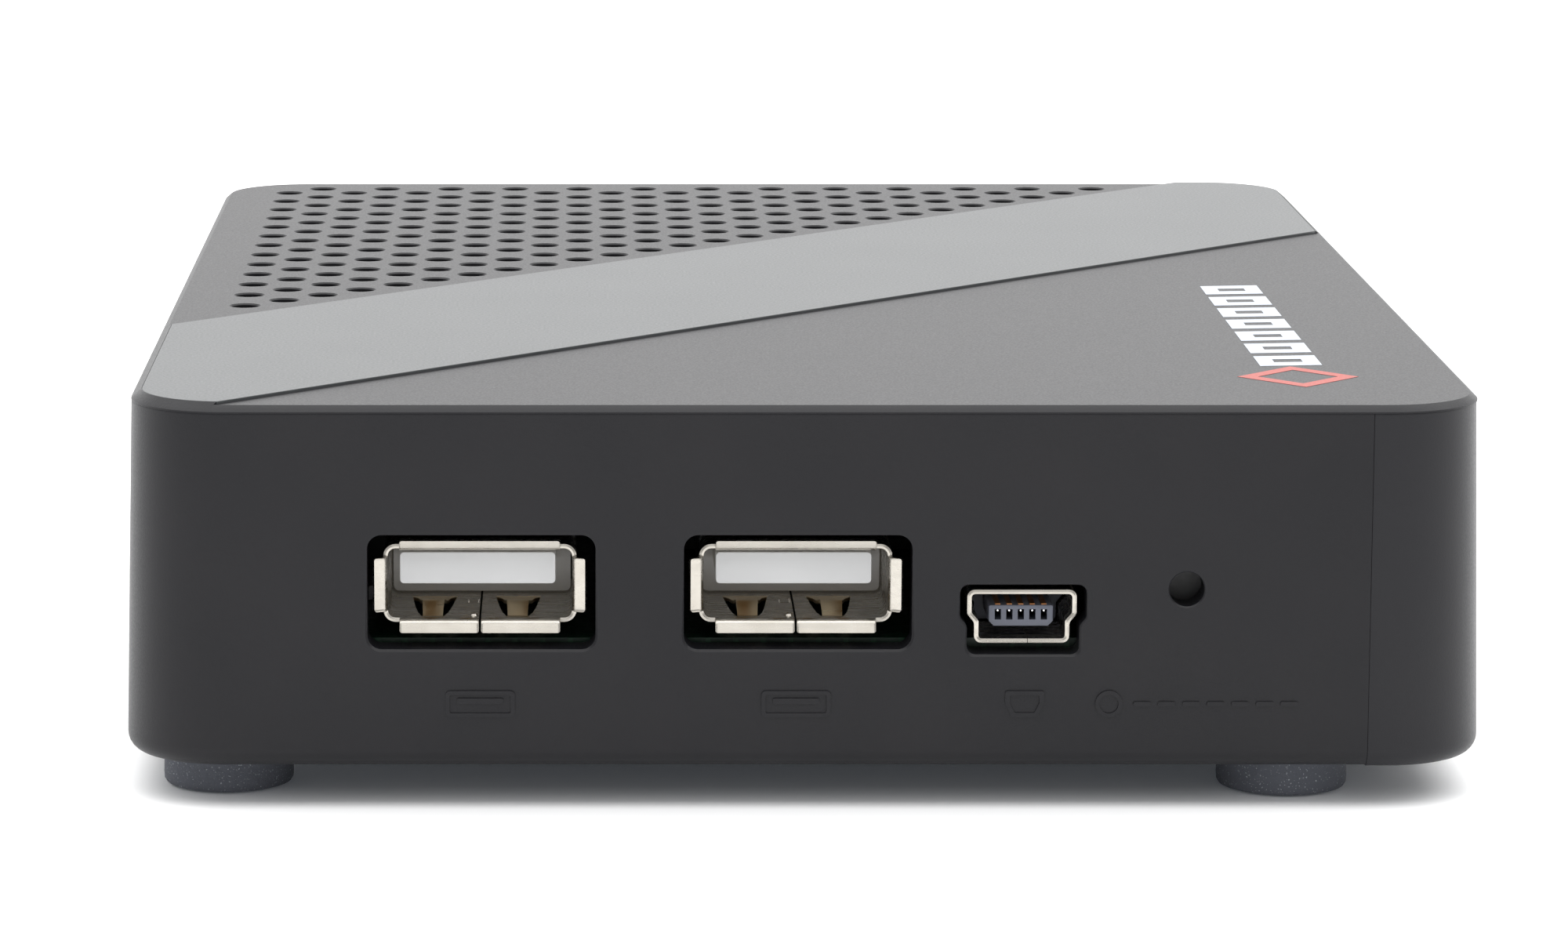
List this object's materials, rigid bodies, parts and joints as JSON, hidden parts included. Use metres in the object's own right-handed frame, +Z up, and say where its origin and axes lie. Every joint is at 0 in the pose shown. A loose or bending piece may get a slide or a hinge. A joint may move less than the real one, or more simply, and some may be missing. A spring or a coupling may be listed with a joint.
{
  "type": "dvr recorder",
  "caption": "Small black plastic recorder box with data sockets on one side, cable sockets behind, a perforated cover with a satin diagonal band, and foam feet.",
  "frame": {"origin": "on the surface that the feet stand on, under the middle of the box", "axes": "+X towards the wrap-round front panel, -X towards the rear cable sockets, -Y towards the side with the data sockets, +Z up"},
  "size_m": [0.0952, 0.124, 0.0285],
  "materials": {
    "case_black": "finely spark-textured black plastic, semi-gloss at a low angle",
    "panel_black": "smooth tinted black plastic",
    "trim_satin": "satin grey paint",
    "foot_foam": "dense dark grey foam rubber with fine pores",
    "screw_steel": "plated steel",
    "nickel_shell": "bright nickel-plated sheet",
    "socket_white": "white moulded insulator",
    "socket_blue": "blue-grey moulded insulator",
    "socket_black": "black moulded insulator",
    "contact_gold": "gold-plated contacts",
    "board_green": "green solder mask",
    "chip_black": "black moulded epoxy",
    "heatsink_aluminium": "extruded aluminium",
    "thermal_pad": "soft blue silicone",
    "can_aluminium": "drawn aluminium can",
    "ferrite_grey": "pressed ferrite",
    "display_dark": "dark red tinted display plastic",
    "ribbon_white": "white flat cable",
    "indicator_clear": "clear lamp resin",
    "button_black": "black switch button"
  },
  "bodies": {
    "case": {"bottom_case": "case_black", "top_cover": "case_black", "front_panel": "panel_black", "top_trim_band": "trim_satin", "foot_front_socket_side": "foot_foam", "foot_front_far_side": "foot_foam", "foot_rear_socket_side": "foot_foam", "foot_rear_far_side": "foot_foam", "case_screw_1": "screw_steel", "case_screw_2": "screw_steel", "case_screw_3": "screw_steel", "case_screw_4": "screw_steel", "board_screw_1": "screw_steel", "board_screw_2": "screw_steel", "board_screw_3": "screw_steel", "board_screw_4": "screw_steel", "data_port_1_shell": "nickel_shell", "data_port_1_insulator": "socket_white", "data_port_1_contacts": "contact_gold", "data_port_2_shell": "nickel_shell", "data_port_2_insulator": "socket_white", "data_port_2_contacts": "contact_gold", "mini_port_shell": "nickel_shell", "mini_port_tongue": "socket_blue", "mini_port_contacts": "contact_gold", "recovery_switch_base": "socket_black", "recovery_switch_frame": "screw_steel", "power_jack_housing": "socket_black", "power_jack_pin": "screw_steel", "av_jack_housing": "socket_black", "av_jack_ring": "nickel_shell", "video_port_shell": "nickel_shell", "video_port_tongue": "socket_black", "network_jack_shell": "nickel_shell", "network_jack_insert": "socket_black", "network_jack_contacts": "contact_gold", "main_board": "board_green", "front_board": "board_green", "processor": "chip_black", "memory_chip_1": "chip_black", "memory_chip_2": "chip_black", "flash_chip": "chip_black", "network_transformer": "chip_black", "thermal_pad": "thermal_pad", "heatsink": "heatsink_aluminium", "power_coil": "ferrite_grey", "power_capacitor_1": "can_aluminium", "power_capacitor_2": "can_aluminium", "power_capacitor_3": "can_aluminium", "clock_crystal": "can_aluminium", "number_display": "display_dark", "remote_receiver": "display_dark", "indicator_lamp": "indicator_clear", "display_ribbon": "ribbon_white", "ribbon_connector_main": "socket_white", "ribbon_connector_front": "socket_white"},
    "recovery_button": {"recovery_button": "button_black"}
  },
  "joints": [
    {"name": "recovery_press", "type": "slide", "parent": "case", "child": "recovery_button", "axis": [0, 1, 0], "range_m": [0, 0.00025], "stiffness_N_per_m": 2000, "springref_m": -0.0002}
  ]
}
